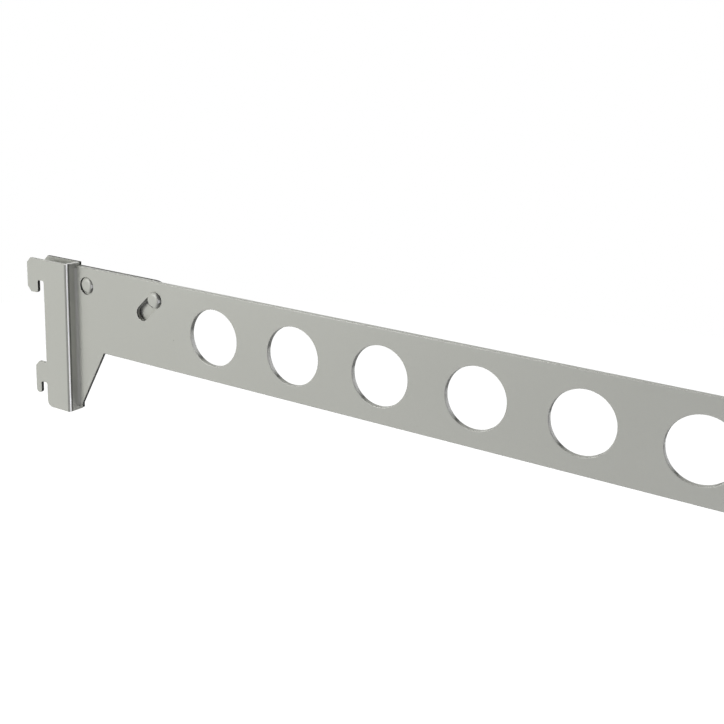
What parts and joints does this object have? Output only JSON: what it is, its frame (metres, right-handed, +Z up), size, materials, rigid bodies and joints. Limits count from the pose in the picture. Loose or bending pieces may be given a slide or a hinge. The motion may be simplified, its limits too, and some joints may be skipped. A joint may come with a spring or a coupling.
{
  "type": "perforated clothes rail with hook-in ends",
  "caption": "Flat steel rail with a row of round holes for hangers; hooks at both ends go into slotted uprights, and a sliding rear hook plate on rivets locks each end.",
  "frame": {"origin": "centre of the whole object's box at rest: midway along the rail, midway between the hook angle's front face and the rivets' tails, midway between the channels' top and bottom", "axes": "+X along the rail to the right as seen from the front, +Y to the rear, +Z up"},
  "size_m": [0.6456, 0.0152, 0.092],
  "materials": {
    "rail_paint": "satin silver-grey paint",
    "bracket_paint": "satin silver-grey paint",
    "weld_paint": "satin silver-grey paint over a smooth weld bead",
    "rivet_paint": "satin silver-grey paint on a domed rivet"
  },
  "bodies": {
    "rail_frame": {"rail": "rail_paint", "left_hook_angle": "bracket_paint", "left_gusset": "bracket_paint", "left_weld": "weld_paint", "left_end_rivet": "rivet_paint", "right_hook_angle": "bracket_paint", "right_gusset": "bracket_paint", "right_weld": "weld_paint", "right_end_rivet": "rivet_paint"},
    "left_lock": {"left_hook_plate": "bracket_paint", "left_slot_rivet": "rivet_paint"},
    "right_lock": {"right_hook_plate": "bracket_paint", "right_slot_rivet": "rivet_paint"}
  },
  "joints": [
    {"name": "left_lock_slide", "type": "slide", "parent": "rail_frame", "child": "left_lock", "axis": [-0.7071, 0, -0.7071], "range_m": [0, 0.01]},
    {"name": "right_lock_slide", "type": "slide", "parent": "rail_frame", "child": "right_lock", "axis": [0.7071, 0, -0.7071], "range_m": [0, 0.01]}
  ]
}
